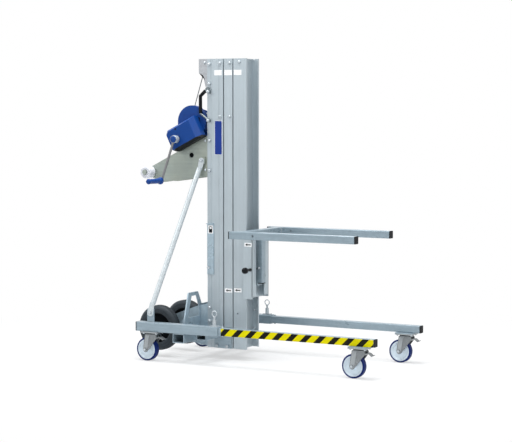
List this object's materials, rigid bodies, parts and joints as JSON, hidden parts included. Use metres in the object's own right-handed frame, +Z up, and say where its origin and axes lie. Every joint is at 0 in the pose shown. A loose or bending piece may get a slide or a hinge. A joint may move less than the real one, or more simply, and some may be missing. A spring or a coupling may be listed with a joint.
{
  "type": "material hoist",
  "caption": "Hand-cranked telescopic material hoist with sliding mast sections, a fork on a carriage, outrigger legs on braked swivel casters, transport wheels and loading rollers.",
  "frame": {"origin": "on the floor under the middle of the bounding box", "axes": "+X towards the fork tips, +Y to the machine's left, +Z up"},
  "size_m": [1.506, 0.675, 1.629],
  "materials": {
    "aluminium": "mill-finished extrusion",
    "zinc_steel": "bright zinc plating",
    "warm_zinc": "yellowish zinc plating",
    "blue_plastic": "moulded, satin",
    "black_plastic": "moulded, matt",
    "blue_steel": "blue paint",
    "soft_black": "soft foam sleeve",
    "tyre": "black rubber",
    "white_plastic": "turned, matt",
    "blue_tread": "moulded tread on a white core",
    "steel_rope": "bare wire rope"
  },
  "bodies": {
    "base": {"mast_fixed_section": "aluminium", "right_sleeve": "zinc_steel", "left_sleeve": "zinc_steel", "sleeve_caps": "black_plastic", "rear_crossbar": "zinc_steel", "handle_plate": "zinc_steel", "axle_gussets": "zinc_steel", "wheel_axle": "zinc_steel", "mast_side_brackets": "zinc_steel", "rear_strut": "zinc_steel", "winch_bracket": "warm_zinc", "winch_frame": "blue_steel", "winch_gear_cover": "blue_plastic", "winch_wheel_cover": "blue_plastic", "hoist_rope": "steel_rope", "head_bracket": "warm_zinc", "grab_handle_bars": "zinc_steel", "grab_handle_grips": "soft_black", "frame_bolts": "zinc_steel", "plunger_housings": "zinc_steel", "rear_caster_plates": "zinc_steel"},
    "lever": {"lock_lever": "zinc_steel"},
    "middle": {"mast_middle_section": "aluminium"},
    "inner": {"mast_inner_section": "aluminium"},
    "carriage": {"carriage_channel": "aluminium", "fork_holder": "zinc_steel"},
    "fork": {"fork_frame": "zinc_steel", "fork_caps": "black_plastic"},
    "knob": {"clamp_knob": "black_plastic"},
    "right_leg": {"right_leg": "zinc_steel", "right_leg_cap": "black_plastic", "right_front_caster_plate": "zinc_steel"},
    "left_leg": {"left_leg": "zinc_steel", "left_leg_cap": "black_plastic", "left_front_caster_plate": "zinc_steel"},
    "right_pin": {"right_plunger": "zinc_steel"},
    "left_pin": {"left_plunger": "zinc_steel"},
    "right_transport_wheel": {"right_tyre": "tyre", "right_rim": "black_plastic"},
    "left_transport_wheel": {"left_tyre": "tyre", "left_rim": "black_plastic"},
    "crank": {"crank": "zinc_steel"},
    "grip": {"crank_grip": "blue_plastic"},
    "drum": {"rope_drum": "steel_rope"},
    "pulley": {"head_pulley": "black_plastic"},
    "right_roller": {"right_roller": "white_plastic"},
    "left_roller": {"left_roller": "white_plastic"},
    "front_right_swivel": {"front_right_yoke": "zinc_steel"},
    "front_right_caster_wheel": {"front_right_wheel": "blue_tread"},
    "front_right_pedal": {"front_right_brake": "zinc_steel"},
    "rear_right_swivel": {"rear_right_yoke": "zinc_steel"},
    "rear_right_caster_wheel": {"rear_right_wheel": "blue_tread"},
    "rear_right_pedal": {"rear_right_brake": "zinc_steel"},
    "front_left_swivel": {"front_left_yoke": "zinc_steel"},
    "front_left_caster_wheel": {"front_left_wheel": "blue_tread"},
    "front_left_pedal": {"front_left_brake": "zinc_steel"},
    "rear_left_swivel": {"rear_left_yoke": "zinc_steel"},
    "rear_left_caster_wheel": {"rear_left_wheel": "blue_tread"},
    "rear_left_pedal": {"rear_left_brake": "zinc_steel"}
  },
  "joints": [
    {"name": "mast_middle_lift", "type": "slide", "parent": "base", "child": "middle", "axis": [0, 0, 1], "range_m": [0, 0.95]},
    {"name": "mast_inner_lift", "type": "slide", "parent": "middle", "child": "inner", "axis": [0, 0, 1], "range_m": [0, 0.95]},
    {"name": "carriage_lift", "type": "slide", "parent": "inner", "child": "carriage", "axis": [0, 0, 1], "range_m": [0, 0.95]},
    {"name": "fork_lift", "type": "slide", "parent": "carriage", "child": "fork", "axis": [0, 0, 1], "range_m": [0, 0.05]},
    {"name": "clamp_knob_turn", "type": "hinge", "parent": "carriage", "child": "knob", "pos_m": [-0.078, -0.1, 0.499], "axis": [0, 1, 0], "continuous": true},
    {"name": "crank_turn", "type": "hinge", "parent": "base", "child": "crank", "pos_m": [-0.51084, -0.162, 1.19512], "axis": [0, 1, 0], "range_deg": [0, 4356]},
    {"name": "crank_grip_turn", "type": "hinge", "parent": "crank", "child": "grip", "pos_m": [-0.59095, -0.23, 0.96889], "axis": [0, 1, 0], "continuous": true},
    {"name": "drum_turn", "type": "hinge", "parent": "base", "child": "drum", "pos_m": [-0.45304, 0, 1.29098], "axis": [0, -1, 0], "range_deg": [0, 1160]},
    {"name": "pulley_turn", "type": "hinge", "parent": "base", "child": "pulley", "pos_m": [-0.36, 0, 1.568], "axis": [0, -1, 0], "range_deg": [0, 1036]},
    {"name": "lock_lever_turn", "type": "hinge", "parent": "base", "child": "lever", "pos_m": [-0.344, -0.0753, 0.498], "axis": [0, -1, 0], "range_deg": [0, 35]},
    {"name": "right_leg_slide", "type": "slide", "parent": "base", "child": "right_leg", "axis": [1, 0, 0], "range_m": [0, 0.2]},
    {"name": "right_plunger_pull", "type": "slide", "parent": "base", "child": "right_pin", "axis": [0, 0, 1], "range_m": [-0.012, 0]},
    {"name": "right_transport_wheel_turn", "type": "hinge", "parent": "base", "child": "right_transport_wheel", "pos_m": [-0.62, -0.14, 0.16], "axis": [0, 1, 0], "continuous": true},
    {"name": "right_roller_turn", "type": "hinge", "parent": "base", "child": "right_roller", "pos_m": [-0.719, -0.099, 1.012], "axis": [0, 1, 0], "continuous": true},
    {"name": "front_right_swivel_turn", "type": "hinge", "parent": "right_leg", "child": "front_right_swivel", "pos_m": [0.665, -0.295, 0.15], "axis": [0, 0, 1], "continuous": true},
    {"name": "front_right_wheel_turn", "type": "hinge", "parent": "front_right_swivel", "child": "front_right_caster_wheel", "pos_m": [0.633, -0.295, 0.0625], "axis": [0, 1, 0], "continuous": true},
    {"name": "front_right_brake_press", "type": "hinge", "parent": "front_right_swivel", "child": "front_right_pedal", "pos_m": [0.695, -0.295, 0.1297], "axis": [0, 1, 0], "range_deg": [0, 17]},
    {"name": "rear_right_swivel_turn", "type": "hinge", "parent": "base", "child": "rear_right_swivel", "pos_m": [-0.567, -0.295, 0.15], "axis": [0, 0, 1], "continuous": true},
    {"name": "rear_right_wheel_turn", "type": "hinge", "parent": "rear_right_swivel", "child": "rear_right_caster_wheel", "pos_m": [-0.599, -0.295, 0.0625], "axis": [0, 1, 0], "continuous": true},
    {"name": "rear_right_brake_press", "type": "hinge", "parent": "rear_right_swivel", "child": "rear_right_pedal", "pos_m": [-0.537, -0.295, 0.1297], "axis": [0, 1, 0], "range_deg": [0, 17]},
    {"name": "left_leg_slide", "type": "slide", "parent": "base", "child": "left_leg", "axis": [1, 0, 0], "range_m": [0, 0.2]},
    {"name": "left_plunger_pull", "type": "slide", "parent": "base", "child": "left_pin", "axis": [0, 0, 1], "range_m": [-0.012, 0]},
    {"name": "left_transport_wheel_turn", "type": "hinge", "parent": "base", "child": "left_transport_wheel", "pos_m": [-0.62, 0.14, 0.16], "axis": [0, 1, 0], "continuous": true},
    {"name": "left_roller_turn", "type": "hinge", "parent": "base", "child": "left_roller", "pos_m": [-0.719, 0.099, 1.012], "axis": [0, 1, 0], "continuous": true},
    {"name": "front_left_swivel_turn", "type": "hinge", "parent": "left_leg", "child": "front_left_swivel", "pos_m": [0.665, 0.295, 0.15], "axis": [0, 0, 1], "continuous": true},
    {"name": "front_left_wheel_turn", "type": "hinge", "parent": "front_left_swivel", "child": "front_left_caster_wheel", "pos_m": [0.633, 0.295, 0.0625], "axis": [0, 1, 0], "continuous": true},
    {"name": "front_left_brake_press", "type": "hinge", "parent": "front_left_swivel", "child": "front_left_pedal", "pos_m": [0.695, 0.295, 0.1297], "axis": [0, 1, 0], "range_deg": [0, 17]},
    {"name": "rear_left_swivel_turn", "type": "hinge", "parent": "base", "child": "rear_left_swivel", "pos_m": [-0.567, 0.295, 0.15], "axis": [0, 0, 1], "continuous": true},
    {"name": "rear_left_wheel_turn", "type": "hinge", "parent": "rear_left_swivel", "child": "rear_left_caster_wheel", "pos_m": [-0.599, 0.295, 0.0625], "axis": [0, 1, 0], "continuous": true},
    {"name": "rear_left_brake_press", "type": "hinge", "parent": "rear_left_swivel", "child": "rear_left_pedal", "pos_m": [-0.537, 0.295, 0.1297], "axis": [0, 1, 0], "range_deg": [0, 17]}
  ],
  "couplings": [
    {"joint": "mast_inner_lift", "follows": "mast_middle_lift", "ratio": 1},
    {"joint": "carriage_lift", "follows": "mast_middle_lift", "ratio": 1},
    {"joint": "crank_turn", "follows": "mast_middle_lift", "rad_per_m": 80},
    {"joint": "drum_turn", "follows": "mast_middle_lift", "rad_per_m": 21.277},
    {"joint": "pulley_turn", "follows": "mast_middle_lift", "rad_per_m": 19}
  ]
}
